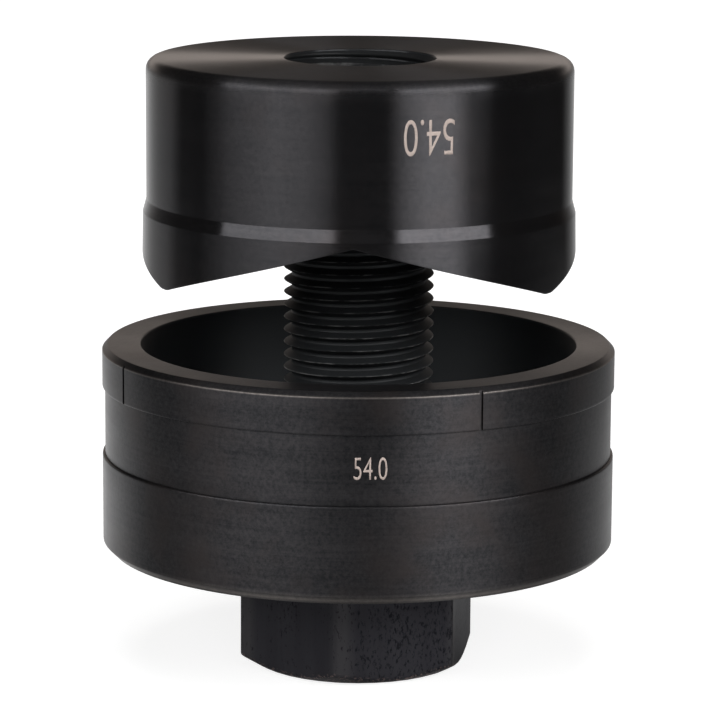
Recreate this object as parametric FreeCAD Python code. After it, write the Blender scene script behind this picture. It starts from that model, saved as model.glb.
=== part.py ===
import FreeCAD, Part
import math
import os

# Screw-drawn hole punch for sheet metal: a toothed punch is pulled into a cup-shaped die
# by a hexagon-head bolt that turns on a thrust ball bearing.
# Millimetres, +Z up. The origin is the centre of the hexagon head's bottom face, and the
# parts stand as set up for use, with room for the sheet between the teeth and the die.

# Hole that the tool cuts
hole_diameter = 54.0
cutting_clearance = 0.25

# Punch
punch_body_length = 17.45
punch_body_relief = 0.5
punch_cone_length = 1.55
punch_land_height = 0.7
punch_back_taper = 0.6
punch_top_radius = 1.4
punch_bore_chamfer = 0.15
tooth_count = 3
tooth_height = 7.35
tooth_tip_flat = 1.5
tooth_hollow_angle = 8.0
first_tip_direction = 88.6

# Die
die_wall = 4.85
die_cup_depth = 13.5
die_floor_thickness = 5.3
die_seat_depth = 7.0
die_top_band_height = 5.2
die_middle_band_height = 8.54
die_middle_band_recess = 0.33
die_top_chamfer = 0.66
die_bottom_chamfer = 1.0
die_edge_break = 0.25
die_cutting_edge_radius = 0.2
die_floor_corner_radius = 1.0
die_bore_play = 0.525
die_bore_chamfer = 0.5

# Centring marks scribed down the die's top band
mark_count = 4
mark_width = 0.5
mark_depth = 0.25
first_mark_direction = 27.0

# Draw bolt, with a right-hand thread up to its end
bolt_diameter = 18.75
bolt_end_depth = 9.55
bolt_end_chamfer = 1.2
plain_shank_length = 11.45
thread_pitch = 1.5875
thread_crest_width = 0.095
thread_root_width = 0.345
thread_flank_angle = 30.0
thread_clearance = 0.05
head_across_flats = 27.0
head_height = 12.0
head_face_inset = 0.7
head_chamfer_angle = 30.0
washer_face_height = 0.5
head_corner_direction = 20.0

# Thrust ball bearing under the die
bearing_play = 0.625
bearing_seat_clearance = 0.3
race_thickness = 3.4
race_shoulder = 1.25
race_corner_radius = 0.6
groove_depth = 0.9
ball_diameter = 4.94
ball_running_clearance = 0.03
pocket_clearance = 0.1
cage_thickness = 1.2
cage_inset = 0.35
cage_web = 0.9

# Gap between the die's rim and the tips of the teeth, where the sheet goes
sheet_gap = 8.75

# Sizes that follow on the radius
punch_radius = hole_diameter / 2
punch_body_radius = punch_radius - punch_body_relief
cup_radius = punch_radius + cutting_clearance
die_radius = cup_radius + die_wall
bolt_radius = bolt_diameter / 2
punch_bore_radius = bolt_radius + thread_clearance
die_bore_radius = bolt_radius + die_bore_play
bearing_bore_radius = bolt_radius + bearing_play
ball_radius = ball_diameter / 2
groove_radius = ball_radius + ball_running_clearance
race_width = 2 * (groove_radius + race_shoulder)
pitch_radius = bearing_bore_radius + race_width / 2
bearing_radius = bearing_bore_radius + race_width
seat_radius = bearing_radius + bearing_seat_clearance
pocket_radius = ball_radius + pocket_clearance

# Levels that follow, from the head upwards
race_gap = 2 * (groove_radius - groove_depth)
lower_race_bottom = head_height
lower_race_top = lower_race_bottom + race_thickness
upper_race_bottom = lower_race_top + race_gap
upper_race_top = upper_race_bottom + race_thickness
ball_level = (lower_race_top + upper_race_bottom) / 2
die_bottom = upper_race_top - die_seat_depth
cup_floor = upper_race_top + die_floor_thickness
die_top = cup_floor + die_cup_depth
tip_level = die_top + sheet_gap
valley_level = tip_level + tooth_height
punch_cone_bottom = valley_level + punch_land_height
punch_cone_top = punch_cone_bottom + punch_cone_length
punch_top = punch_cone_top + punch_body_length
bolt_end = punch_top - bolt_end_depth
thread_start = head_height + plain_shank_length

# How far a cutter stands past the face that it cuts
overrun = 1.0


def point(radius, level):
    return FreeCAD.Vector(radius, 0, level)


def rounded_corner(before, corner, after, radius):
    """Ends and middle of the arc that rounds one corner of a section."""
    to_before = (before - corner).normalize()
    to_after = (after - corner).normalize()
    half_angle = to_before.getAngle(to_after) / 2
    inwards = (to_before + to_after).normalize()
    reach = radius / math.tan(half_angle)
    middle = corner + inwards * (radius / math.sin(half_angle) - radius)
    return corner + to_before * reach, middle, corner + to_after * reach


def section_wire(corners):
    """Closed section in the XZ plane. A corner is (radius, level) or (radius, level, rounding)."""
    places = [point(corner[0], corner[1]) for corner in corners]
    stretches = []
    for index, corner in enumerate(corners):
        place = places[index]
        if len(corner) == 3:
            following = places[(index + 1) % len(places)]
            stretches.append(rounded_corner(places[index - 1], place, following, corner[2]))
        else:
            stretches.append((place,))
    edges = []
    for index, stretch in enumerate(stretches):
        if len(stretch) == 3:
            edges.append(Part.Arc(*stretch).toShape())
        following = stretches[(index + 1) % len(stretches)]
        edges.append(Part.makeLine(stretch[-1], following[0]))
    return Part.Wire(edges)


def turned(corners):
    """Solid turned about the Z axis."""
    face = Part.Face(section_wire(corners))
    return face.revolve(FreeCAD.Vector(0, 0, 0), FreeCAD.Vector(0, 0, 1), 360)


def about_axis(shape, degrees):
    """Copy of the shape, turned about the Z axis."""
    copy = shape.copy()
    copy.rotate(FreeCAD.Vector(0, 0, 0), FreeCAD.Vector(0, 0, 1), degrees)
    return copy


def make_ramp_cutter(left_handed):
    """Helicoid cutter for one flank of a tooth, from its tip up to the next valley.

    Its upper side climbs evenly round the axis and rises towards the bore, so that the
    rim of the punch cuts first.
    """
    flank_angle = 180.0 / tooth_count
    tip_half_angle = math.degrees(tooth_tip_flat / 2 / punch_radius)
    climb_per_degree = tooth_height / (flank_angle - tip_half_angle)
    climb = climb_per_degree * flank_angle
    start_level = valley_level - climb
    inner = punch_bore_radius - overrun
    outer = punch_radius + overrun
    hollow_slope = math.tan(math.radians(tooth_hollow_angle))
    depth = climb + (outer - inner) * hollow_slope + overrun
    profile = section_wire([
        (inner, start_level + (punch_radius - inner) * hollow_slope),
        (outer, start_level + (punch_radius - outer) * hollow_slope),
        (outer, start_level - depth),
        (inner, start_level - depth),
    ])
    path = Part.makeHelix(360.0 * climb_per_degree, climb, punch_radius, 0, left_handed)
    path.translate(FreeCAD.Vector(0, 0, start_level))
    return Part.Wire(path.Edges).makePipeShell([profile], True, True)


def make_punch():
    """Turned blank with a relieved body and a tapered cutting band, then the ground teeth."""
    band_height = punch_cone_bottom - tip_level
    band_top_radius = punch_radius - band_height * math.tan(math.radians(punch_back_taper))
    blank = turned([
        (punch_bore_radius, tip_level),
        (punch_radius, tip_level),
        (band_top_radius, punch_cone_bottom),
        (punch_body_radius, punch_cone_top),
        (punch_body_radius, punch_top, punch_top_radius),
        (punch_bore_radius + punch_bore_chamfer, punch_top),
        (punch_bore_radius, punch_top - punch_bore_chamfer),
    ])
    flanks = [make_ramp_cutter(False), make_ramp_cutter(True)]
    cutters = []
    for tooth in range(tooth_count):
        direction = first_tip_direction + 360.0 / tooth_count * tooth
        cutters += [about_axis(flank, direction) for flank in flanks]
    return blank.cut(cutters)


def make_die():
    """Turned cup with three outer bands, a bearing seat below and four centring marks."""
    middle_band_top = die_top - die_top_band_height
    middle_band_bottom = middle_band_top - die_middle_band_height
    middle_band_radius = die_radius - die_middle_band_recess
    body = turned([
        (seat_radius + die_edge_break, die_bottom),
        (die_radius - die_bottom_chamfer, die_bottom),
        (die_radius, die_bottom + die_bottom_chamfer),
        (die_radius, middle_band_bottom - die_edge_break),
        (die_radius - die_edge_break, middle_band_bottom),
        (middle_band_radius, middle_band_bottom),
        (middle_band_radius, middle_band_top),
        (die_radius, middle_band_top),
        (die_radius, die_top - die_top_chamfer),
        (die_radius - die_top_chamfer, die_top),
        (cup_radius, die_top, die_cutting_edge_radius),
        (cup_radius, cup_floor, die_floor_corner_radius),
        (die_bore_radius + die_bore_chamfer, cup_floor),
        (die_bore_radius, cup_floor - die_bore_chamfer),
        (die_bore_radius, upper_race_top),
        (seat_radius, upper_race_top),
        (seat_radius, die_bottom + die_edge_break),
    ])
    length = mark_depth + overrun
    height = die_top_band_height + overrun
    corner = FreeCAD.Vector(die_radius - mark_depth, -mark_width / 2, middle_band_top)
    mark = Part.makeBox(length, mark_width, height, corner)
    step = 360.0 / mark_count
    return body.cut([about_axis(mark, first_mark_direction + step * place) for place in range(mark_count)])


def make_thread_groove():
    """Helical cutter for the thread's groove, open past the crests and past the bolt's end."""
    groove_width = thread_pitch - thread_crest_width
    thread_depth = (groove_width - thread_root_width) / 2 / math.tan(math.radians(thread_flank_angle))
    root_radius = bolt_radius - thread_depth
    profile = section_wire([
        (root_radius, thread_start - thread_root_width / 2),
        (bolt_radius, thread_start - groove_width / 2),
        (bolt_radius + overrun, thread_start - groove_width / 2),
        (bolt_radius + overrun, thread_start + groove_width / 2),
        (bolt_radius, thread_start + groove_width / 2),
        (root_radius, thread_start + thread_root_width / 2),
    ])
    path = Part.makeHelix(thread_pitch, bolt_end - thread_start + thread_pitch, bolt_radius)
    path.translate(FreeCAD.Vector(0, 0, thread_start))
    return Part.Wire(path.Edges).makePipeShell([profile], True, True)


def make_draw_bolt():
    """Hexagon head, chamfered at its driven end, on a threaded shank with a chamfered end."""
    corner_radius = head_across_flats / 2 / math.cos(math.radians(30))
    face_radius = head_across_flats / 2 - head_face_inset
    corners = []
    for step in range(7):
        direction = math.radians(head_corner_direction + 60 * step)
        corners.append(FreeCAD.Vector(math.cos(direction), math.sin(direction), 0) * corner_radius)
    hexagon_height = head_height - washer_face_height
    hexagon = Part.Face(Part.makePolygon(corners)).extrude(FreeCAD.Vector(0, 0, hexagon_height))
    cone_reach = corner_radius + overrun
    cone_rise = (cone_reach - face_radius) * math.tan(math.radians(head_chamfer_angle))
    envelope = turned([
        (0, 0),
        (face_radius, 0),
        (cone_reach, cone_rise),
        (cone_reach, head_height),
        (0, head_height),
    ])
    shank = turned([
        (0, hexagon_height),
        (face_radius, hexagon_height),
        (face_radius, head_height),
        (bolt_radius, head_height),
        (bolt_radius, bolt_end - bolt_end_chamfer),
        (bolt_radius - bolt_end_chamfer, bolt_end),
        (0, bolt_end),
    ])
    blank = hexagon.common(envelope).fuse(shank).removeSplitter()
    return blank.cut(make_thread_groove())


def make_race(bottom):
    """Flat ring with rounded corners. The ball groove is cut at the bearing's ball level."""
    top = bottom + race_thickness
    ring = turned([
        (bearing_bore_radius, bottom, race_corner_radius),
        (bearing_radius, bottom, race_corner_radius),
        (bearing_radius, top, race_corner_radius),
        (bearing_bore_radius, top, race_corner_radius),
    ])
    groove = Part.makeTorus(pitch_radius, groove_radius)
    groove.translate(FreeCAD.Vector(0, 0, ball_level))
    return ring.cut(groove)


def ball_directions():
    """Directions of the balls, as many as the cage has room for."""
    pocket_pitch = 2 * pocket_radius + cage_web
    count = int(2 * math.pi * pitch_radius / pocket_pitch)
    return [360.0 / count * index for index in range(count)]


def make_ball_cage():
    """Flat ring between the races, with one round pocket for each ball."""
    half_width = race_width / 2 - cage_inset
    bottom = ball_level - cage_thickness / 2
    top = ball_level + cage_thickness / 2
    ring = turned([
        (pitch_radius - half_width, bottom),
        (pitch_radius + half_width, bottom),
        (pitch_radius + half_width, top),
        (pitch_radius - half_width, top),
    ])
    pocket_height = cage_thickness + 2 * overrun
    pocket = Part.makeCylinder(pocket_radius, pocket_height, point(pitch_radius, bottom - overrun))
    return ring.cut([about_axis(pocket, direction) for direction in ball_directions()])


def make_ball(direction):
    ball = Part.makeSphere(ball_radius, point(pitch_radius, ball_level))
    return about_axis(ball, direction)


pieces = {
    "punch": make_punch(),
    "die": make_die(),
    "draw_bolt": make_draw_bolt(),
    "thrust_race_lower": make_race(lower_race_bottom),
    "thrust_race_upper": make_race(upper_race_bottom),
    "ball_cage": make_ball_cage(),
}
for number, direction in enumerate(ball_directions(), 1):
    pieces[f"ball_{number:02d}"] = make_ball(direction)

os.makedirs("parts", exist_ok=True)
for name, shape in pieces.items():
    shape.exportStep(f"parts/{name}.step")
    box = shape.BoundBox
    print(f"{name}: {len(shape.Solids)} solid, valid {shape.isValid()}, {shape.Volume:.1f} mm3,"
          f" {box.ZMin:.2f} to {box.ZMax:.2f} mm high")
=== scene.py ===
import bmesh
import bpy
import math
from mathutils import Matrix, Vector


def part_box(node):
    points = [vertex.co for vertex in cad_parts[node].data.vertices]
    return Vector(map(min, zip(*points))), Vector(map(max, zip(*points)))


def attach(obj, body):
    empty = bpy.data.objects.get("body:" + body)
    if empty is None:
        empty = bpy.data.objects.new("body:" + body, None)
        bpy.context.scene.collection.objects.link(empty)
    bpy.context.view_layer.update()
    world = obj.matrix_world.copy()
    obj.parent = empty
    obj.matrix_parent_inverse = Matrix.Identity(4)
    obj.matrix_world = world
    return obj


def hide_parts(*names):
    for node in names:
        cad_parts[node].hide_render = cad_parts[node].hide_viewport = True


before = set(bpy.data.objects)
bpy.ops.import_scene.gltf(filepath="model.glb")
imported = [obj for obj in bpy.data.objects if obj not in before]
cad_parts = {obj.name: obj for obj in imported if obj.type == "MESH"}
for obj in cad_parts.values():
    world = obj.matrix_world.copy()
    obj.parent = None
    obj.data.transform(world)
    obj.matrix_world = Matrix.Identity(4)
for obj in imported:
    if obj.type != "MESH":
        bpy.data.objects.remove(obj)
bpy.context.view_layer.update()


# Draw bolt
# A forged hexagon-head bolt, blacked in a hot oxide bath. Its fine right-hand thread is rolled
# from inside the die up to the chamfered end, and carries the punch.

HEAD_ACROSS_FLATS = 0.027
HEAD_FACE_INSET = 0.0007
HEAD_CHAMFER = math.radians(30)
HEAD_CORNER = math.radians(20)
WASHER_FACE_HEIGHT = 0.0005
HEAD_CORNER_ROUNDING = 0.0005
HEAD_EDGE = 0.00025
HEAD_SUPPORT = math.radians(0.7)
# Lighter band beside each head corner, partly wear and partly a painted highlight: its shift to one side of
# the corner, its core and its fade.
RUB_HIGHLIGHT_SHIFT = math.radians(3)
RUB_HIGHLIGHT_CORE = 0.03
RUB_HIGHLIGHT_FADE = 0.09
LOW_EDGE_WEAR = 0.0005
FACE_STEPS = 6
SHANK_RADIUS = 0.009375
THREAD_PITCH = 0.0254 / 16
THREAD_ROOT_RADIUS = 0.00838
THREAD_START = 0.02345
THREAD_RUN_OUT = 0.001
CREST_SHARE = 0.06
ROOT_SHARE = 0.22
BOLT_COLUMNS = 72
THREAD_ROWS = 16
THREAD_WELD = 0.000002
HEAD_TOP_MARGIN = 0.00005
SCALE_DARK = (0.038, 0.037, 0.044)
SCALE_LIGHT = (0.054, 0.053, 0.061)
# Colour of that band: scale rubbed lighter, and a painted highlight.
SCALE_RUB_AND_HIGHLIGHT = (0.084, 0.081, 0.086)
FLECK_BLACK = (0.009, 0.009, 0.013)
SPECK_RUST = (0.36, 0.26, 0.24)
SCALE_RELIEF = 0.000002
BOLT_THREAD_OILED = 0.023
BOLT_THREAD_RUBBED = 0.25


class Term:
    """A node's output, which Python's operators turn into maths nodes."""

    def __init__(self, tree, socket):
        self.tree = tree
        self.socket = socket

    def out(self, name):
        return Term(self.tree, self.socket.node.outputs[name])

    def maths(self, operation, *others):
        inputs = dict(enumerate([self, *others]))
        return add_node(self.tree, "ShaderNodeMath", {"operation": operation}, inputs)

    def __add__(self, other):
        return self.maths("ADD", other)

    def __sub__(self, other):
        return self.maths("SUBTRACT", other)

    def __mul__(self, other):
        return self.maths("MULTIPLY", other)

    def __truediv__(self, other):
        return self.maths("DIVIDE", other)

    def __rsub__(self, other):
        return self * -1 + other

    def __abs__(self):
        return self.maths("ABSOLUTE")

    __radd__ = __add__

    def clipped(self):
        return self.maths("MAXIMUM", 0.0).maths("MINIMUM", 1.0)


def add_node(tree, kind, settings=None, inputs=None, output=0):
    """New node: its settings first, then the values or links of its sockets."""
    made = tree.nodes.new(kind)
    for name, value in (settings or {}).items():
        if name == "stops":
            ramp = made.color_ramp.elements
            ramp.remove(ramp[1])
            ramp[0].position = value[0][0]
            ramp[0].color = (*value[0][1], 1)
            for place, colour in value[1:]:
                ramp.new(place).color = (*colour, 1)
        else:
            setattr(made, name, value)
    for name, value in (inputs or {}).items():
        if isinstance(value, Term):
            tree.links.new(value.socket, made.inputs[name])
        else:
            made.inputs[name].default_value = value
    return Term(tree, made.outputs[output]) if made.outputs else made


def shape_tree(name, sizes):
    """Geometry tree with a geometry input, the named sizes, and a material."""
    tree = bpy.data.node_groups.new(name, "GeometryNodeTree")
    tree.interface.new_socket("Geometry", in_out="INPUT", socket_type="NodeSocketGeometry")
    tree.interface.new_socket("Geometry", in_out="OUTPUT", socket_type="NodeSocketGeometry")
    for size in sizes:
        tree.interface.new_socket(size, in_out="INPUT", socket_type="NodeSocketFloat")
    tree.interface.new_socket("Material", in_out="INPUT", socket_type="NodeSocketMaterial")
    return tree, add_node(tree, "NodeGroupInput").out


def close_tree(tree, given, geometry):
    """Realize Instances and Set Material, in front of the tree's output."""
    realized = add_node(tree, "GeometryNodeRealizeInstances", {}, {"Geometry": geometry})
    painted = add_node(tree, "GeometryNodeSetMaterial", {}, {
        "Geometry": realized, "Material": given("Material")})
    add_node(tree, "NodeGroupOutput", {}, {"Geometry": painted})


def split_position(tree):
    """Place of each point, split into terms."""
    position = add_node(tree, "GeometryNodeInputPosition")
    return add_node(tree, "ShaderNodeSeparateXYZ", {}, {"Vector": position})


def new_piece(name, form):
    """Object at the origin with the mesh that a bmesh holds."""
    mesh = bpy.data.meshes.new(name)
    form.to_mesh(mesh)
    form.free()
    piece = bpy.data.objects.new(name, mesh)
    bpy.context.scene.collection.objects.link(piece)
    return piece


def shaped(piece, tree, sizes):
    """Runs a geometry tree on a piece and keeps its result as a plain mesh."""
    if "Material" in sizes:
        piece.data.materials.append(sizes["Material"])
    modifier = piece.modifiers.new(tree.name, "NODES")
    modifier.node_group = tree
    for item in tree.interface.items_tree:
        if item.name in sizes:
            modifier[item.identifier] = sizes[item.name]
    evaluated = piece.evaluated_get(bpy.context.evaluated_depsgraph_get())
    mesh = bpy.data.meshes.new_from_object(evaluated)
    piece.modifiers.remove(modifier)
    piece.data = mesh
    return piece


def smoothed(piece, crease=32):
    """Smooth shading, apart from edges sharper than the crease, in degrees."""
    piece.data.polygons.foreach_set("use_smooth", [True] * len(piece.data.polygons))
    piece.data.set_sharp_from_angle(angle=math.radians(crease))
    return piece


def helical_thread():
    """Tree that winds a thread's flanks on rows that climb one pitch for each turn."""
    tree, given = shape_tree("helical_thread", [
        "Columns", "Rows per Turn", "Crest Radius", "Root Radius", "Pitch", "Lower End", "Upper End",
        "Run-out", "Crest Share", "Root Share", "Crest Level"])
    lower = given("Lower End")
    upper = given("Upper End")
    pitch = given("Pitch")
    turns = ((upper - lower) / pitch).maths("CEIL") + 2
    grid = add_node(tree, "GeometryNodeMeshGrid", {}, {
        "Size X": 1.0, "Size Y": 1.0, "Vertices X": given("Columns") + 1,
        "Vertices Y": turns * given("Rows per Turn") + 1})
    place = split_position(tree)
    round_share = place.out("X") + 0.5
    wound = (place.out("Y") + 0.5) * turns
    start = ((given("Crest Level") - lower) / pitch - 0.5).maths("FRACT")
    climbed = lower + (wound + round_share - 2 + start) * pitch
    level = climbed.maths("MAXIMUM", lower).maths("MINIMUM", upper)
    from_crest = abs(wound.maths("FRACT") - 0.5) * 2
    flank_share = 1 - given("Crest Share") - given("Root Share")
    flank = ((from_crest - given("Crest Share")) / flank_share).clipped()
    fade = ((level - lower).maths("MINIMUM", upper - level) / given("Run-out")).clipped()
    radius = given("Root Radius") + (given("Crest Radius") - given("Root Radius")) * (1 - flank) * fade
    angle = round_share * math.tau
    wrapped = add_node(tree, "ShaderNodeCombineXYZ", {}, {
        "X": radius * angle.maths("COSINE"), "Y": radius * angle.maths("SINE"), "Z": level})
    tube = add_node(tree, "GeometryNodeSetPosition", {}, {"Geometry": grid, "Position": wrapped})
    merged = add_node(tree, "GeometryNodeMergeByDistance", {}, {"Geometry": tube, "Distance": THREAD_WELD})
    close_tree(tree, given, merged)
    return tree


def ring(form, radius, level, directions):
    """Ring of vertices. Its radius and level are numbers, or follow from the direction."""
    vertices = []
    for direction in directions:
        reach = radius(direction) if callable(radius) else radius
        height = level(direction) if callable(level) else level
        place = (reach * math.cos(direction), reach * math.sin(direction), height)
        vertices.append(form.verts.new(place))
    return vertices


def skin(form, rings, closed=False):
    """Faces between neighbouring rings, and back to the first ring if the section is closed."""
    pairs = list(zip(rings, rings[1:] + rings[:1]))
    for inner, outer in pairs if closed else pairs[:-1]:
        count = len(inner)
        for index in range(count):
            following = (index + 1) % count
            form.faces.new((inner[index], inner[following], outer[following], outer[index]))


HEAD_APOTHEM = HEAD_ACROSS_FLATS / 2
CORNER_CENTRE = (HEAD_APOTHEM - HEAD_CORNER_ROUNDING) / math.cos(math.pi / 6)
CORNER_SPAN = math.pi / 6 - math.atan(CORNER_CENTRE * math.sin(math.pi / 6) / HEAD_APOTHEM)


def hexagon_radius(direction):
    """Reach of the head's outline, whose corners are slightly rounded."""
    from_corner = (direction - HEAD_CORNER + math.pi / 6) % (math.pi / 3) - math.pi / 6
    if abs(from_corner) < CORNER_SPAN:
        off_axis = CORNER_CENTRE * math.sin(from_corner)
        past_centre = math.sqrt(HEAD_CORNER_ROUNDING ** 2 - off_axis ** 2)
        return CORNER_CENTRE * math.cos(from_corner) + past_centre
    return HEAD_APOTHEM / math.cos(math.pi / 6 - abs(from_corner))


def hexagon_directions():
    """Twelve columns to a face, close together round its corners.

    The pair beside each corner keeps the faces flat in shading.
    """
    flat_start = CORNER_SPAN + HEAD_SUPPORT
    step = (math.pi / 3 - 2 * flat_start) / FACE_STEPS
    sector = [0, CORNER_SPAN / 2, CORNER_SPAN]
    sector += [flat_start + step * index for index in range(FACE_STEPS + 1)]
    sector += [math.pi / 3 - CORNER_SPAN, math.pi / 3 - CORNER_SPAN / 2]
    return [HEAD_CORNER + math.pi / 3 * face + offset for face in range(6) for offset in sector]


def bolt_shape():
    """Head and shank on one set of columns, with the thread wound on above them."""
    head_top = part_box("thrust_race_lower")[0].z
    bolt_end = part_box("draw_bolt")[1].z
    face_radius = HEAD_APOTHEM - HEAD_FACE_INSET
    shoulder = head_top - WASHER_FACE_HEIGHT
    hexagon = hexagon_directions()
    circle = [HEAD_CORNER + math.tau * step / BOLT_COLUMNS for step in range(BOLT_COLUMNS)]
    form = bmesh.new()

    def beside_edge(inward, upward):
        """Ring near the edge between the chamfer and the six faces."""
        def reach(direction):
            return hexagon_radius(direction) - inward

        def height(direction):
            return (hexagon_radius(direction) - inward - face_radius) * math.tan(HEAD_CHAMFER) + upward
        return ring(form, reach, height, hexagon)

    def below_shoulder(inward, drop):
        """Ring near the head's upper edge."""
        def reach(direction):
            return hexagon_radius(direction) - inward
        return ring(form, reach, shoulder - drop, hexagon)

    rings = [
        ring(form, face_radius - HEAD_EDGE, 0, hexagon),
        ring(form, face_radius, HEAD_EDGE * 0.2, hexagon),
        ring(form, face_radius + HEAD_EDGE, HEAD_EDGE * math.tan(HEAD_CHAMFER), hexagon),
        beside_edge(HEAD_EDGE, 0),
        beside_edge(HEAD_EDGE * 0.25, HEAD_EDGE * 0.25),
        beside_edge(0, HEAD_EDGE),
        beside_edge(0, HEAD_EDGE * 2),
        below_shoulder(0, HEAD_EDGE * 2),
        below_shoulder(0, HEAD_EDGE),
        below_shoulder(HEAD_EDGE * 0.3, HEAD_EDGE * 0.3),
        below_shoulder(HEAD_EDGE, 0),
        ring(form, face_radius, shoulder, hexagon),
        ring(form, face_radius, head_top, circle),
        ring(form, SHANK_RADIUS, head_top, circle),
        ring(form, SHANK_RADIUS, THREAD_START - THREAD_RUN_OUT, circle),
        ring(form, THREAD_ROOT_RADIUS, THREAD_START, circle),
    ]
    skin(form, rings)
    form.faces.new(reversed(rings[0]))

    thread = new_piece("thread", bmesh.new())
    shaped(thread, helical_thread(), {
        "Columns": BOLT_COLUMNS, "Rows per Turn": THREAD_ROWS, "Crest Radius": SHANK_RADIUS,
        "Root Radius": THREAD_ROOT_RADIUS, "Pitch": THREAD_PITCH, "Lower End": THREAD_START,
        "Upper End": bolt_end, "Run-out": THREAD_RUN_OUT, "Crest Share": CREST_SHARE,
        "Root Share": ROOT_SHARE, "Crest Level": THREAD_START + THREAD_PITCH / 2})
    form.from_mesh(thread.data)
    bpy.data.objects.remove(thread)
    bmesh.ops.remove_doubles(form, verts=form.verts, dist=THREAD_WELD * 2)
    bmesh.ops.holes_fill(form, edges=[edge for edge in form.edges if edge.is_boundary])
    bmesh.ops.recalc_face_normals(form, faces=form.faces)
    for face in form.faces:
        face.material_index = 1 if face.calc_center_median().z < head_top - HEAD_TOP_MARGIN else 0
    return smoothed(new_piece("draw_bolt_threaded", form))


def new_finish(name):
    """Material with an empty node tree, and its Object coordinates split into terms."""
    material = bpy.data.materials.new(name)
    material.use_nodes = True
    tree = material.node_tree
    tree.nodes.clear()
    place = add_node(tree, "ShaderNodeTexCoord").out("Object")
    split = add_node(tree, "ShaderNodeSeparateXYZ", {}, {"Vector": place})
    return material, tree, place, split


def grain(tree, place, scale, detail=3.0, roughness=0.6, dimensions="3D"):
    """Noise from 0 to 1 at so many features to the metre."""
    socket = "W" if dimensions == "1D" else "Vector"
    return add_node(tree, "ShaderNodeTexNoise", {"noise_dimensions": dimensions}, {
        socket: place, "Scale": scale, "Detail": detail, "Roughness": roughness})


def stretched(tree, place, stretch):
    """Coordinates scaled apart, so that a pattern runs along the piece."""
    return add_node(tree, "ShaderNodeMapping", {}, {"Vector": place, "Scale": stretch})


def blend(tree, share, first, second):
    """Colour between two others. Each is a colour or a term.

    The mix node takes colours at the inputs numbered 6 and 7, and gives one at the output numbered 2.
    """
    colours = [colour if isinstance(colour, Term) else (*colour, 1) for colour in (first, second)]
    inputs = {0: share, 6: colours[0], 7: colours[1]}
    return add_node(tree, "ShaderNodeMix", {"data_type": "RGBA"}, inputs, 2)


def coat_with(tree, settings, height=None, across_grooves=0.0):
    """Principled surface, with the height in metres as its bump.

    A turned piece scatters more across its grooves than along them, which is the anisotropy.
    """
    if across_grooves:
        settings.update({"Anisotropic": across_grooves, "Anisotropic Rotation": 0.25})
    if height is not None:
        settings["Normal"] = add_node(tree, "ShaderNodeBump", {}, {
            "Strength": 1.0, "Distance": 1.0, "Height": height})
    surface = add_node(tree, "ShaderNodeBsdfPrincipled", {}, settings)
    add_node(tree, "ShaderNodeOutputMaterial", {}, {"Surface": surface})


def distance_from_axis(split):
    return (split.out("X") * split.out("X") + split.out("Y") * split.out("Y")).maths("SQRT")


def thread_finish(name, crest_radius, root_radius, oiled, rubbed):
    """Black oxide, dark with oil between the ridges and rubbed a little brighter on the crests."""
    material, tree, place, split = new_finish(name)
    smears = grain(tree, place, 330, 3, 0.7)
    height = (distance_from_axis(split) - root_radius) / (crest_radius - root_radius)
    crest = ((height - 0.9) * 10).clipped() * ((smears - 0.46) * 6).clipped()
    colour = blend(tree, crest, (oiled * 0.92, oiled, oiled * 1.08), (rubbed, rubbed, rubbed))
    coat_with(tree, {
        "Base Color": colour, "Metallic": 0.45, "Roughness": 0.52 + smears * 0.12 - crest * 0.24})
    return material


def forged_head_finish():
    """Scale from the forging, in upright streaks and fine dark flecks.

    It is lighter beside the corners, partly from rubbing and partly as a painted highlight
    set off to one side of each corner, with rusty specks along the lowest edge.
    """
    material, tree, place, split = new_finish("forged_head")
    streaks = grain(tree, stretched(tree, place, (1, 1, 0.08)), 420, 3, 0.6)
    blotches = grain(tree, stretched(tree, place, (1, 1, 0.6)), 160, 2, 0.5)
    fine = grain(tree, stretched(tree, place, (1, 1, 0.5)), 2600, 3, 0.7)
    worn_side = (split.out("X") / 0.02 + 0.55).clipped()
    flecks = ((fine - 0.60 + (blotches - 0.5) * 0.3 + worn_side * 0.09) * 8).clipped()
    # Band beside each corner, shifted to one side: partly rubbing, partly a painted highlight.
    turn = split.out("Y").maths("ARCTAN2", split.out("X")) - (HEAD_CORNER + RUB_HIGHLIGHT_SHIFT)
    from_corner = abs((turn / (math.pi / 3) + 0.5).maths("FRACT") - 0.5) * (math.pi / 3)
    rubbed = (1 - (from_corner - RUB_HIGHLIGHT_CORE) / RUB_HIGHLIGHT_FADE).clipped() * (0.4 + streaks).clipped()
    chamfer_rise = (distance_from_axis(split) - HEAD_APOTHEM + HEAD_FACE_INSET) * math.tan(HEAD_CHAMFER)
    low_edge = (1 - (split.out("Z") - chamfer_rise) / LOW_EDGE_WEAR).clipped()
    specks = ((grain(tree, place, 2300, 2) - 0.53) * 12).clipped() * low_edge
    tone = ((streaks + blotches - 1) * 1.5 + 0.5).clipped()
    scale_colour = blend(tree, tone, SCALE_DARK, SCALE_LIGHT)
    worn_and_highlit = blend(tree, rubbed * 0.8, scale_colour, SCALE_RUB_AND_HIGHLIGHT)
    flecked = blend(tree, flecks * 0.8, worn_and_highlit, FLECK_BLACK)
    colour = blend(tree, specks * 0.6, flecked, SPECK_RUST)
    coat_with(tree, {"Base Color": colour, "Metallic": 0.9, "Roughness": 0.5 + blotches * 0.1},
              streaks * SCALE_RELIEF + blotches * (SCALE_RELIEF * 2) - flecks * SCALE_RELIEF)
    return material


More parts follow.
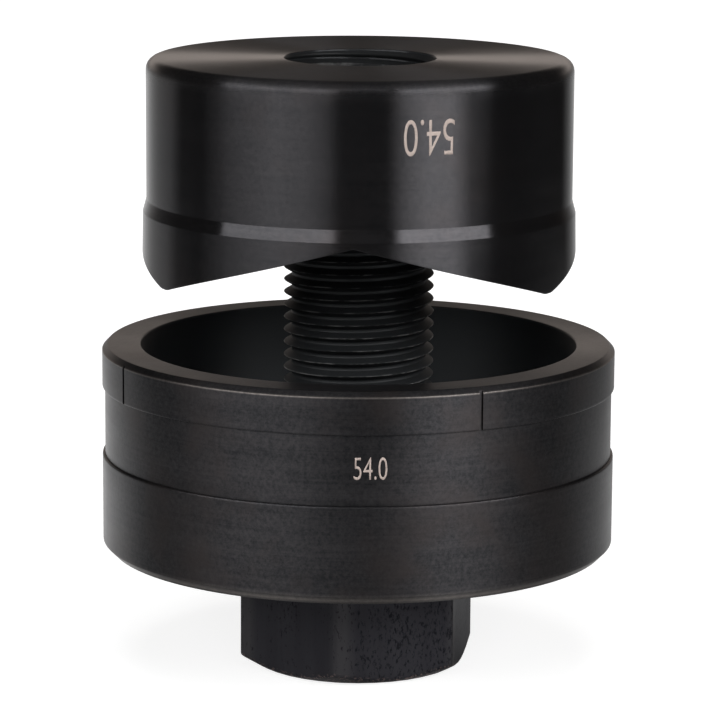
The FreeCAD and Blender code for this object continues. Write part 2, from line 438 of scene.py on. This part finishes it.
draw_bolt = bolt_shape()
draw_bolt.data.materials.append(thread_finish(
    "bolt_thread", SHANK_RADIUS, THREAD_ROOT_RADIUS, BOLT_THREAD_OILED, BOLT_THREAD_RUBBED))
draw_bolt.data.materials.append(forged_head_finish())
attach(draw_bolt, "draw_bolt")
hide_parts("draw_bolt")


# Thrust ball bearing
# Two hardened and ground rings with fourteen balls in a flat pressed cage. The lower ring lies on
# the bolt's head and the upper one up in the die's seat, where little of them shows.

GRINDING_RELIEF = 0.0000008


def ground_steel_finish(name, colour, roughness):
    """Bright bearing steel with the fine rings that grinding leaves."""
    material, tree, place, split = new_finish(name)
    radius = distance_from_axis(split)
    rings = grain(tree, (radius + split.out("Z")) * 9000, 1.0, 2, 0.5, "1D")
    haze = grain(tree, place, 180)
    tinted = blend(tree, haze * 0.5, colour, [channel * 0.7 for channel in colour])
    coat_with(tree, {"Base Color": tinted, "Metallic": 1.0, "Roughness": roughness + haze * 0.1},
              rings * GRINDING_RELIEF)
    return material


def paint_node(name, material):
    """Gives a CAD node's slot the finish."""
    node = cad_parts[name]
    node.material_slots[0].material = material


race_steel = ground_steel_finish("race_steel", (0.42, 0.42, 0.43), 0.24)
ball_steel = ground_steel_finish("ball_steel", (0.72, 0.72, 0.74), 0.06)
cage_steel = ground_steel_finish("cage_steel", (0.35, 0.33, 0.30), 0.38)
for node_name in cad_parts:
    if node_name.startswith("thrust_race"):
        paint_node(node_name, race_steel)
    elif node_name == "ball_cage":
        paint_node(node_name, cage_steel)
    elif node_name.startswith("ball_"):
        paint_node(node_name, ball_steel)


# Die
# A turned and hardened cup with a recessed middle band, blacked after turning. Four scribed marks
# on the top band line it up with centre lines on the sheet.

DIE_WALL = 0.00485
DIE_TOP_BAND = 0.0052
DIE_MIDDLE_BAND = 0.00854
DIE_RECESS = 0.00033
DIE_TOP_CHAMFER = 0.00066
DIE_BOTTOM_CHAMFER = 0.001
DIE_EDGE_BREAK = 0.00025
DIE_WORN_EDGE = 0.00012
DIE_FLOOR_CORNER = 0.001
DIE_CUTTING_EDGE = 0.0002
DIE_CUP_DEPTH = 0.0135
DIE_BORE_RADIUS = 0.0099
DIE_BORE_CHAMFER = 0.0005
SEAT_CLEARANCE = 0.0003
DIE_FLAT_SKIN = 0.00006
# Reaches of the lighter lines on the die's edges, partly wear and partly painted highlight.
DIE_TOP_EDGE_RUB_AND_HIGHLIGHT = 0.0002
DIE_BOTTOM_EDGE_RUB_AND_HIGHLIGHT = 0.0009
DIE_COLUMNS = 240
MARK_COUNT = 4
MARK_WIDTH = 0.0005
MARK_DEPTH = 0.00025
FIRST_MARK = math.radians(27)
FACED_ROUGHNESS = 0.38
CAVITY_BLUR = 0.0001
OXIDE_DARK = (0.026, 0.0265, 0.029)
OXIDE_LIGHT = (0.056, 0.0535, 0.0565)
OXIDE_BROWN = (0.052, 0.044, 0.043)
OXIDE_IN_CAVITY = (0.028, 0.031, 0.034)
# Colour of those edge lines: bare steel from wear, and a painted highlight.
EDGE_RUB_AND_HIGHLIGHT = (0.26, 0.235, 0.22)
TOOL_RING_RELIEF = 0.0000006
OXIDE_RELIEF = 0.000001

die_low, die_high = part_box("die")
die_radius = die_high.x
die_top = die_high.z
die_middle_top = die_top - DIE_TOP_BAND
die_middle_bottom = die_middle_top - DIE_MIDDLE_BAND
die_middle_radius = die_radius - DIE_RECESS


def rounded_section(corners, steps=4, support=0.0002):
    """Points round a closed section. A corner is (radius, level) or (radius, level, rounding).

    Each long straight stretch gets a point near both ends, which keeps it flat in shading.
    """
    stretches = []
    for index, corner in enumerate(corners):
        place = Vector(corner[:2])
        if len(corner) == 2:
            stretches.append([place])
            continue
        to_before = (Vector(corners[index - 1][:2]) - place).normalized()
        to_after = (Vector(corners[(index + 1) % len(corners)][:2]) - place).normalized()
        half = to_before.angle(to_after) / 2
        centre = place + (to_before + to_after).normalized() * (corner[2] / math.sin(half))
        start = place + to_before * (corner[2] / math.tan(half)) - centre
        end = place + to_after * (corner[2] / math.tan(half)) - centre
        stretches.append([
            centre + start.slerp(end, step / steps).normalized() * corner[2] for step in range(steps + 1)])
    points = []
    for index, stretch in enumerate(stretches):
        points += stretch
        run = stretches[(index + 1) % len(stretches)][0] - stretch[-1]
        if run.length > 4 * support:
            inset = run.normalized() * support
            points += [stretch[-1] + inset, stretch[-1] + run - inset]
    return points


def turned_piece(name, corners, columns, start=0.0, steps=4):
    """Closed ring, turned from a section about the bolt's axis."""
    form = bmesh.new()
    directions = [start + math.tau * step / columns for step in range(columns)]
    rings = [ring(form, point.x, point.y, directions) for point in rounded_section(corners, steps)]
    skin(form, rings, closed=True)
    bmesh.ops.recalc_face_normals(form, faces=form.faces)
    return new_piece(name, form)


def scribed_marks():
    """Tree that cuts evenly spaced upright grooves into a turned piece."""
    tree, given = shape_tree("scribed_marks", [
        "Count", "First Direction", "Radius", "Depth", "Width", "Lower End", "Upper End"])
    overrun = 0.001
    height = given("Upper End") - given("Lower End")
    size = add_node(tree, "ShaderNodeCombineXYZ", {}, {
        "X": given("Depth") + overrun, "Y": given("Width"), "Z": height})
    cutter = add_node(tree, "GeometryNodeMeshCube", {}, {"Size": size})
    offset = add_node(tree, "ShaderNodeCombineXYZ", {}, {
        "X": given("Radius") + (overrun - given("Depth")) * 0.5,
        "Z": given("Lower End") + height * 0.5})
    moved = add_node(tree, "GeometryNodeTransform", {}, {"Geometry": cutter, "Translation": offset})
    line = add_node(tree, "GeometryNodeMeshLine", {}, {"Count": given("Count"), "Offset": (0, 0, 0)})
    turn = given("First Direction") + add_node(tree, "GeometryNodeInputIndex") * math.tau / given("Count")
    rotation = add_node(tree, "ShaderNodeCombineXYZ", {}, {"Z": turn})
    cutters = add_node(tree, "GeometryNodeInstanceOnPoints", {}, {
        "Points": line, "Instance": moved, "Rotation": rotation})
    realized = add_node(tree, "GeometryNodeRealizeInstances", {}, {"Geometry": cutters})
    cut = add_node(tree, "GeometryNodeMeshBoolean", {"operation": "DIFFERENCE"}, {
        "Mesh 1": given("Geometry"), "Mesh 2": realized})
    close_tree(tree, given, cut)
    return tree


def near(term, level, reach):
    """1 at the level, falling to 0 at the reach on both sides."""
    return (1 - abs(term - level) / reach).clipped()


def black_oxide_finish(name, roughness, across_grooves, mottling, cavity, top_face, edges):
    """Blacked turned steel: fine rings from the tool, cloudy oxide, and edges lighter from wear and from a
    painted highlight.

    It is darker and rougher within the cavity, which is (radius, lower level). The top face is
    (level, reach): it is turned more coarsely, which fades out over the reach below it. Each edge is
    (radius, level, reach).
    """
    material, tree, place, split = new_finish(name)
    level = split.out("Z")
    radius = distance_from_axis(split)
    hollow = ((cavity[0] - radius) / CAVITY_BLUR).clipped() * ((level - cavity[1]) / CAVITY_BLUR).clipped()
    faced = near(level, *top_face) * (1 - hollow)
    clouds = grain(tree, place, 110, 4, 0.65)
    streaks = grain(tree, stretched(tree, place, (1, 1, 10)), 45, 3, 0.6)
    fine = grain(tree, place, 1900, 3, 0.8)
    rust = grain(tree, place, 75, 3, 0.7)
    lines = grain(tree, stretched(tree, place, (1, 1, 60)), 50, 3, 0.7)
    tool_rings = grain(tree, (radius + level) * 4200, 1.0, 3, 0.6, "1D")
    pattern = clouds * 0.7 + streaks * 0.7 + lines * 0.9 + fine * 2.2 - 2.25
    tone = (pattern * (faced * 0.5 + mottling) + 0.5).clipped()
    oxide = blend(tree, tone, OXIDE_DARK, OXIDE_LIGHT)
    brown = blend(tree, ((rust - 0.5) * 3 * mottling).clipped(), oxide, OXIDE_BROWN)
    colour = blend(tree, hollow, brown, OXIDE_IN_CAVITY)
    # Each edge gets a lighter line: partly wear, partly a painted highlight where the edge catches the
    # lamps.
    for edge_radius, edge_level, reach in edges:
        beside_edge = near(radius, edge_radius, reach) * near(level, edge_level, reach)
        colour = blend(tree, beside_edge * (0.2 + fine).clipped(), colour, EDGE_RUB_AND_HIGHLIGHT)
    coat_with(tree, {
        "Base Color": colour, "Metallic": 0.9 - hollow * 0.6,
        "Roughness": (roughness + (clouds + streaks - 1) * 0.1 * mottling + hollow * 0.15
                      + faced * (FACED_ROUGHNESS - roughness)),
    }, tool_rings * TOOL_RING_RELIEF + fine * OXIDE_RELIEF, across_grooves)
    return material


die = turned_piece("die_turned", [
    (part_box("thrust_race_upper")[1].x + SEAT_CLEARANCE, die_low.z, DIE_EDGE_BREAK),
    (die_radius - DIE_BOTTOM_CHAMFER, die_low.z, DIE_WORN_EDGE),
    (die_radius, die_low.z + DIE_BOTTOM_CHAMFER, DIE_WORN_EDGE),
    (die_radius, die_middle_bottom, DIE_EDGE_BREAK),
    (die_middle_radius, die_middle_bottom),
    (die_middle_radius, die_middle_top),
    (die_radius, die_middle_top, DIE_WORN_EDGE),
    (die_radius, die_top - DIE_TOP_CHAMFER, DIE_WORN_EDGE),
    (die_radius - DIE_TOP_CHAMFER, die_top, DIE_WORN_EDGE),
    (die_radius - DIE_WALL, die_top, DIE_CUTTING_EDGE),
    (die_radius - DIE_WALL, die_top - DIE_CUP_DEPTH, DIE_FLOOR_CORNER),
    (DIE_BORE_RADIUS, die_top - DIE_CUP_DEPTH, DIE_BORE_CHAMFER),
    (DIE_BORE_RADIUS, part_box("thrust_race_upper")[1].z),
    (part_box("thrust_race_upper")[1].x + SEAT_CLEARANCE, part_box("thrust_race_upper")[1].z),
], DIE_COLUMNS)
shaped(die, scribed_marks(), {
    "Count": MARK_COUNT, "First Direction": FIRST_MARK, "Radius": die_radius, "Depth": MARK_DEPTH,
    "Width": MARK_WIDTH, "Lower End": die_middle_top - DIE_EDGE_BREAK,
    "Upper End": die_top + DIE_EDGE_BREAK,
    "Material": black_oxide_finish(
        "die_black_oxide", roughness=0.40, across_grooves=0.6, mottling=1.1,
        cavity=(die_radius - DIE_WALL + DIE_CUTTING_EDGE / 2, die_low.z + DIE_EDGE_BREAK),
        top_face=(die_top, DIE_FLAT_SKIN), edges=[
            # Lighter lines at the top chamfer's lower edge and over the bottom chamfer: partly wear, partly
            # painted highlight.
            (die_radius, die_top - DIE_TOP_CHAMFER, DIE_TOP_EDGE_RUB_AND_HIGHLIGHT),
            (die_radius - DIE_BOTTOM_CHAMFER / 2, die_low.z + DIE_BOTTOM_CHAMFER / 2, DIE_BOTTOM_EDGE_RUB_AND_HIGHLIGHT),
        ])})
smoothed(die)
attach(die, "die")
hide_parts("die")


# Punch
# A turned blank, relieved above its cutting band and tapped through for the bolt. Three teeth are
# ground into its foot on even ramps, hollow towards the bore, so that the rim cuts first.

PUNCH_RADIUS = 0.027
PUNCH_BODY_RADIUS = 0.0265
PUNCH_BODY_LENGTH = 0.01745
PUNCH_CONE_LENGTH = 0.00155
PUNCH_TOP_ROUNDING = 0.0014
PUNCH_TOP_FADE = 0.0025
PUNCH_BAND_EDGE = 0.00008
PUNCH_BORE_RADIUS = 0.009425
PUNCH_BORE_CHAMFER = 0.00015
PUNCH_BACK_TAPER = math.radians(0.6)
PUNCH_FOOT_HEIGHT = 0.0003
PUNCH_COLUMNS = 360
TOOTH_COUNT = 3
TOOTH_HEIGHT = 0.00735
TOOTH_TIP_FLAT = 0.0015
TOOTH_HOLLOW = math.radians(8)
FIRST_TIP = math.radians(88.6)
TAPPED_RIDGE_RADIUS = 0.0087
TAPPED_GROOVE_RADIUS = 0.0095
TAPPED_WALL_RADIUS = 0.0098
TAPPED_CREST_SHARE = 0.25
TAPPED_ROOT_SHARE = 0.0625
TAPPED_MARGIN = 0.0003
TAPPED_THREAD_OILED = 0.01
TAPPED_THREAD_RUBBED = 0.1

punch_tip, punch_top = (corner.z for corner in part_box("punch"))
band_top = punch_top - PUNCH_BODY_LENGTH - PUNCH_CONE_LENGTH


def ground_teeth():
    """Tree that lifts the foot of a turned blank to even ramps between tips and valleys."""
    tree, given = shape_tree("ground_teeth", [
        "Teeth", "First Tip", "Tooth Height", "Tip Share", "Hollow Slope", "Radius", "Tip Level",
        "Foot Height"])
    place = split_position(tree)
    x = place.out("X")
    y = place.out("Y")
    angle = y.maths("ARCTAN2", x) - given("First Tip")
    turn = (angle * given("Teeth") / math.tau + 0.5).maths("FRACT")
    from_tip = abs(turn - 0.5) * 2
    climb = (from_tip - given("Tip Share")) / (1 - given("Tip Share")) * given("Tooth Height")
    radius = (x * x + y * y).maths("SQRT")
    lift = (climb + (given("Radius") - radius) * given("Hollow Slope")).maths("MAXIMUM", 0.0)
    in_foot = (place.out("Z") - given("Tip Level")).maths("LESS_THAN", given("Foot Height"))
    offset = add_node(tree, "ShaderNodeCombineXYZ", {}, {"Z": lift * in_foot})
    lifted = add_node(tree, "GeometryNodeSetPosition", {}, {
        "Geometry": given("Geometry"), "Offset": offset})
    close_tree(tree, given, lifted)
    return tree


punch = turned_piece("punch_ground", [
    (PUNCH_BORE_RADIUS, punch_tip, PUNCH_BAND_EDGE),
    (PUNCH_RADIUS, punch_tip, PUNCH_BAND_EDGE),
    (PUNCH_RADIUS - (band_top - punch_tip) * math.tan(PUNCH_BACK_TAPER), band_top, PUNCH_BAND_EDGE),
    (PUNCH_BODY_RADIUS, punch_top - PUNCH_BODY_LENGTH, PUNCH_BAND_EDGE),
    (PUNCH_BODY_RADIUS, punch_top, PUNCH_TOP_ROUNDING),
    (PUNCH_BORE_RADIUS, punch_top, PUNCH_BORE_CHAMFER),
], PUNCH_COLUMNS, FIRST_TIP, 6)
shaped(punch, ground_teeth(), {
    "Teeth": TOOTH_COUNT, "First Tip": FIRST_TIP, "Tooth Height": TOOTH_HEIGHT,
    "Tip Share": TOOTH_TIP_FLAT / PUNCH_RADIUS / 2 / (math.pi / TOOTH_COUNT),
    "Hollow Slope": math.tan(TOOTH_HOLLOW), "Radius": PUNCH_RADIUS, "Tip Level": punch_tip,
    "Foot Height": PUNCH_FOOT_HEIGHT,
    "Material": black_oxide_finish(
        "punch_black_oxide", roughness=0.21, across_grooves=0.95, mottling=0.6,
        cavity=(PUNCH_BORE_RADIUS + PUNCH_BORE_CHAMFER / 2, punch_tip),
        top_face=(punch_top, PUNCH_TOP_FADE), edges=[])})
smoothed(punch)
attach(punch, "punch")
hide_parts("punch")


def tapped_thread():
    """Ridges of the punch's inner thread, on a sleeve that lies inside the bore's wall."""
    hollow_rise = (PUNCH_RADIUS - PUNCH_BORE_RADIUS) * math.tan(TOOTH_HOLLOW)
    lower = punch_tip + hollow_rise + TOOTH_HEIGHT + TAPPED_MARGIN
    upper = punch_top - PUNCH_BORE_CHAMFER
    sleeve = new_piece("punch_thread", bmesh.new())
    shaped(sleeve, bpy.data.node_groups["helical_thread"], {
        "Columns": BOLT_COLUMNS, "Rows per Turn": THREAD_ROWS, "Crest Radius": TAPPED_RIDGE_RADIUS,
        "Root Radius": TAPPED_GROOVE_RADIUS, "Pitch": THREAD_PITCH, "Lower End": lower,
        "Upper End": upper, "Run-out": THREAD_PITCH / 2, "Crest Share": TAPPED_CREST_SHARE,
        "Root Share": TAPPED_ROOT_SHARE, "Crest Level": THREAD_START})
    form = bmesh.new()
    form.from_mesh(sleeve.data)
    open_edges = [edge for edge in form.edges if edge.is_boundary]
    outer = bmesh.ops.extrude_edge_only(form, edges=open_edges)["geom"]
    for vertex in (item for item in outer if isinstance(item, bmesh.types.BMVert)):
        vertex.co.xy *= TAPPED_WALL_RADIUS / TAPPED_GROOVE_RADIUS
    bmesh.ops.bridge_loops(form, edges=[edge for edge in form.edges if edge.is_boundary])
    bmesh.ops.recalc_face_normals(form, faces=form.faces)
    form.to_mesh(sleeve.data)
    form.free()
    sleeve.data.materials.clear()
    sleeve.data.materials.append(thread_finish(
        "punch_thread_finish", TAPPED_RIDGE_RADIUS, TAPPED_GROOVE_RADIUS, TAPPED_THREAD_OILED,
        TAPPED_THREAD_RUBBED))
    return smoothed(sleeve)


punch_thread = tapped_thread()
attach(punch_thread, "punch")


# Size marks
# The hole's size in millimetres, burnt pale into the oxide by a laser: head down on the punch, and
# upright on the die's middle band.

MARK_TEXT = "54.0"
MARK_SQUEEZE = 0.62
MARK_SKIN = 0.00001
MARK_SINK = 0.00006
MARK_THINNING = -0.006
MARK_WELD = 0.000001
STRIP_WIDTH = 0.0004
PUNCH_MARK_HEIGHT = 0.0043
PUNCH_MARK_DIRECTION = math.radians(-71.8)
PUNCH_MARK_LEVEL = 0.0700
DIE_MARK_HEIGHT = 0.0027
DIE_MARK_DIRECTION = math.radians(-87.3)
DIE_MARK_LEVEL = 0.0316
BURNT_WARM = (0.36, 0.29, 0.26)
BURNT_PALE = (0.60, 0.50, 0.45)
BURNT_MISSED = (0.12, 0.10, 0.10)
BURNT_RELIEF = 0.000004


def burnt_mark_finish():
    """Matt, pinkish and a little patchy, where the laser has broken through the oxide."""
    material, tree, place, split = new_finish("burnt_mark")
    patches = grain(tree, place, 1500, 3, 0.7)
    misses = ((grain(tree, place, 5200, 2) - 0.60) * 8).clipped()
    warm = blend(tree, patches, BURNT_WARM, BURNT_PALE)
    colour = blend(tree, misses * 0.6, warm, BURNT_MISSED)
    coat_with(tree, {"Base Color": colour, "Metallic": 0.0, "Roughness": 0.62}, patches * BURNT_RELIEF)
    return material


def size_mark(name, height, radius, direction, level, head_down):
    """Figures of the given height, wrapped round a cylinder of the given radius."""
    letters = bpy.data.curves.new(name, "FONT")
    letters.body = MARK_TEXT
    letters.align_x = "CENTER"
    letters.align_y = "CENTER"
    letters.offset = MARK_THINNING
    flat = bpy.data.objects.new(name, letters)
    form = bmesh.new()
    form.from_mesh(flat.to_mesh())
    bpy.data.objects.remove(flat)
    tall = [vertex.co.y for vertex in form.verts]
    scale = height / (max(tall) - min(tall))
    middle = (max(tall) + min(tall)) / 2
    sign = -1 if head_down else 1
    for vertex in form.verts:
        across = sign * vertex.co.x * scale * MARK_SQUEEZE
        vertex.co = (across, sign * (vertex.co.y - middle) * scale, 0)
    reach = max(abs(vertex.co.x) for vertex in form.verts)
    for strip in range(-int(reach / STRIP_WIDTH), int(reach / STRIP_WIDTH) + 1):
        geometry = form.verts[:] + form.edges[:] + form.faces[:]
        place = (strip * STRIP_WIDTH, 0, 0)
        bmesh.ops.bisect_plane(form, geom=geometry, plane_co=place, plane_no=(1, 0, 0))
    bmesh.ops.remove_doubles(form, verts=form.verts, dist=MARK_WELD)
    raised = bmesh.ops.extrude_face_region(form, geom=form.faces[:])["geom"]
    for vertex in (item for item in raised if isinstance(item, bmesh.types.BMVert)):
        vertex.co.z = 1
    for vertex in form.verts:
        turn = direction + vertex.co.x / radius
        reach = radius + (MARK_SKIN if vertex.co.z else -MARK_SINK)
        vertex.co = (reach * math.cos(turn), reach * math.sin(turn), level + vertex.co.y)
    bmesh.ops.recalc_face_normals(form, faces=form.faces)
    return new_piece(name, form)


burnt_mark = burnt_mark_finish()
punch_mark = size_mark("punch_size_mark", PUNCH_MARK_HEIGHT, PUNCH_BODY_RADIUS, PUNCH_MARK_DIRECTION,
                       PUNCH_MARK_LEVEL, head_down=True)
die_mark = size_mark("die_size_mark", DIE_MARK_HEIGHT, die_middle_radius, DIE_MARK_DIRECTION,
                     DIE_MARK_LEVEL, head_down=False)
for mark, body in ((punch_mark, "punch"), (die_mark, "die")):
    mark.data.materials.append(burnt_mark)
    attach(mark, body)


# Floor, light and camera
# A pale floor, a wide soft box on each side, a small one in front and one overhead. The black steel
# mirrors the floor, which glows to glossy rays alone: a painted reflection whose tones differ from side to
# side, as in a studio with dark and bright corners, dimmed near the object as a painted shadow.

FLOOR_NEAR_TONES = (
    (0, 1.7), (0.05, 1.7), (0.12, 1.1), (0.2, 0.95), (0.24, 0.45), (0.3, 0.35), (0.37, 0.55),
    (0.43, 0.65), (0.48, 0.4), (0.54, 0.36), (0.585, 0.85), (0.62, 0.65), (0.67, 0.32), (0.75, 0.3),
    (0.8, 0.6), (0.91, 0.8), (1, 1.2))
FLOOR_FAR_TONES = (
    (0, 0.8), (0.05, 0.7), (0.12, 0.4), (0.17, 0.4), (0.2, 0.02), (0.25, 0.03), (0.3, 0.6),
    (0.38, 1.75), (0.42, 1.35), (0.47, 0.03), (0.54, 0.02), (0.6, 3.3), (0.635, 3.3), (0.665, 0.5),
    (0.69, 0.02), (0.88, 0.0), (0.94, 0.4), (1, 0.8))
BRIGHTEST_TONE = 3.3
NEAR_TONES_END = 0.12
TONES_FADE = 0.16
FLOOR_LEVEL = -0.00005
FLOOR_REACH = 6
BACKDROP_STRENGTH = 0.78
ROOM_STRENGTH = 0.03
BACKDROP_COLOUR = (1.0, 0.88, 0.80)
OBJECT_MIDDLE = Vector((0, 0, 0.04))


def floor_tones(tree, round_share, tones):
    """Brightness of the floor's painted glow round the object, which only the steel's reflections see.

    It starts behind the object and goes by the left, the camera's side and the right.
    """
    stops = [(share, [tone / BRIGHTEST_TONE] * 3) for share, tone in tones]
    return add_node(tree, "ShaderNodeValToRGB", {"stops": stops}, {"Fac": round_share})


def floor_finish():
    """Pale floor that is white to the camera with the object's shadow. To glossy rays it glows instead, a
    painted reflection with its own tones in the steel, dimmed close to the object as a painted shadow.

    It is clear from below, so that the underside can be seen.
    """
    material, tree, place, split = new_finish("studio_floor")
    path = add_node(tree, "ShaderNodeLightPath")
    radius = distance_from_axis(split)
    round_share = split.out("X").maths("ARCTAN2", split.out("Y") * -1) / math.tau + 0.5
    outward = ((radius - NEAR_TONES_END) / TONES_FADE).clipped()
    near_tones = floor_tones(tree, round_share, FLOOR_NEAR_TONES)
    far_tones = floor_tones(tree, round_share, FLOOR_FAR_TONES)
    tone = blend(tree, outward, near_tones, far_tones)
    # Painted shadow: the glow in the steel is halved close to the object.
    painted_shadow_near_object = 0.5 + ((radius - 0.02) / 0.04).clipped() * 0.5
    # Painted reflection: a glow that only glossy rays see, with the tones above.
    reflection_glow = add_node(tree, "ShaderNodeEmission", {}, {
        "Color": tone, "Strength": painted_shadow_near_object * BRIGHTEST_TONE})
    shade = add_node(tree, "ShaderNodeBsdfDiffuse", {}, {"Color": (0.5, 0.5, 0.5, 1)})
    seen = path.out("Is Camera Ray").maths("MAXIMUM", path.out("Is Transmission Ray"))
    white = add_node(tree, "ShaderNodeEmission", {}, {
        "Color": (1, 1, 1, 1), "Strength": seen * (0.78 + ((radius - 0.12) / 0.3).clipped() * 0.22)})
    direct = add_node(tree, "ShaderNodeAddShader", {}, {0: shade, 1: white})
    both = add_node(tree, "ShaderNodeMixShader", {}, {
        0: path.out("Is Glossy Ray"), 1: direct, 2: reflection_glow})
    from_below = add_node(tree, "ShaderNodeNewGeometry").out("Backfacing")
    clear = add_node(tree, "ShaderNodeBsdfTransparent")
    one_sided = add_node(tree, "ShaderNodeMixShader", {}, {0: from_below, 1: both, 2: clear})
    add_node(tree, "ShaderNodeOutputMaterial", {}, {"Surface": one_sided})
    return material


def studio_world():
    """Dim room with a warm white backdrop behind the object. The camera sees it white."""
    world = bpy.data.worlds.new("studio")
    world.use_nodes = True
    tree = world.node_tree
    tree.nodes.clear()
    path = add_node(tree, "ShaderNodeLightPath")
    towards = add_node(tree, "ShaderNodeTexCoord").out("Generated")
    direction = add_node(tree, "ShaderNodeSeparateXYZ", {}, {"Vector": towards})
    rise = direction.out("Z")
    band = ((rise - 0.07) / 0.02).clipped() * ((0.26 - rise) / 0.05).clipped()
    backdrop = band * ((direction.out("Y") - 0.7) / 0.2).clipped()
    strength = (ROOM_STRENGTH + backdrop * BACKDROP_STRENGTH).maths("MAXIMUM", path.out("Is Camera Ray"))
    colour = blend(tree, path.out("Is Camera Ray"), BACKDROP_COLOUR, (1, 1, 1))
    light = add_node(tree, "ShaderNodeBackground", {}, {"Color": colour, "Strength": strength})
    add_node(tree, "ShaderNodeOutputWorld", {}, {"Surface": light})
    return world


def soft_box(name, azimuth, elevation, distance, width, height, power):
    """Rectangular lamp that looks at the object's middle. Its azimuth is counted from the camera's side."""
    lamp = bpy.data.lights.new(name, "AREA")
    lamp.shape = "RECTANGLE"
    lamp.size = width
    lamp.size_y = height
    lamp.energy = power
    holder = bpy.data.objects.new(name, lamp)
    bpy.context.scene.collection.objects.link(holder)
    rise = math.radians(elevation)
    turn = math.radians(azimuth - 90)
    away = Vector((math.cos(turn) * math.cos(rise), math.sin(turn) * math.cos(rise), math.sin(rise)))
    holder.location = OBJECT_MIDDLE + away * distance
    holder.rotation_euler = away.to_track_quat("Z", "Y").to_euler()
    holder.visible_camera = False
    return holder


form = bmesh.new()
for across, along in ((-1, -1), (1, -1), (1, 1), (-1, 1)):
    form.verts.new((across * FLOOR_REACH, along * FLOOR_REACH, FLOOR_LEVEL))
form.faces.new(form.verts)
floor = new_piece("studio_floor", form)
floor.data.materials.append(floor_finish())

soft_box("soft_box_left", -45.8, 25, 0.8, 0.93, 0.28, 3.9)
soft_box("soft_box_right", 47.5, 25, 0.8, 0.73, 0.28, 4.3)
soft_box("soft_box_front", 2, 44, 0.8, 0.3, 0.12, 0.35)
soft_box("soft_box_top", -10, 80, 1.0, 0.6, 0.6, 4).visible_glossy = False

bpy.context.scene.world = studio_world()
bpy.context.scene.view_settings.view_transform = "Standard"

CAMERA_PLACE = (0.0002, -0.46537, 0.12897)
CAMERA_PITCH = math.radians(11.006)
CAMERA_ROLL = math.radians(0.35)
FOCAL_LENGTH_MM = 188.8
SENSOR_WIDTH_MM = 36
CLEAR_SIGHT = 20
lens = bpy.data.cameras.new("camera")
lens.lens = FOCAL_LENGTH_MM
lens.sensor_width = SENSOR_WIDTH_MM
lens.clip_end = CLEAR_SIGHT
camera = bpy.data.objects.new("camera", lens)
bpy.context.scene.collection.objects.link(camera)
camera_tilt = Matrix.Rotation(math.pi / 2 - CAMERA_PITCH, 4, "X")
camera.matrix_world = Matrix.Translation(CAMERA_PLACE) @ camera_tilt @ Matrix.Rotation(CAMERA_ROLL, 4, "Z")
bpy.context.scene.camera = camera
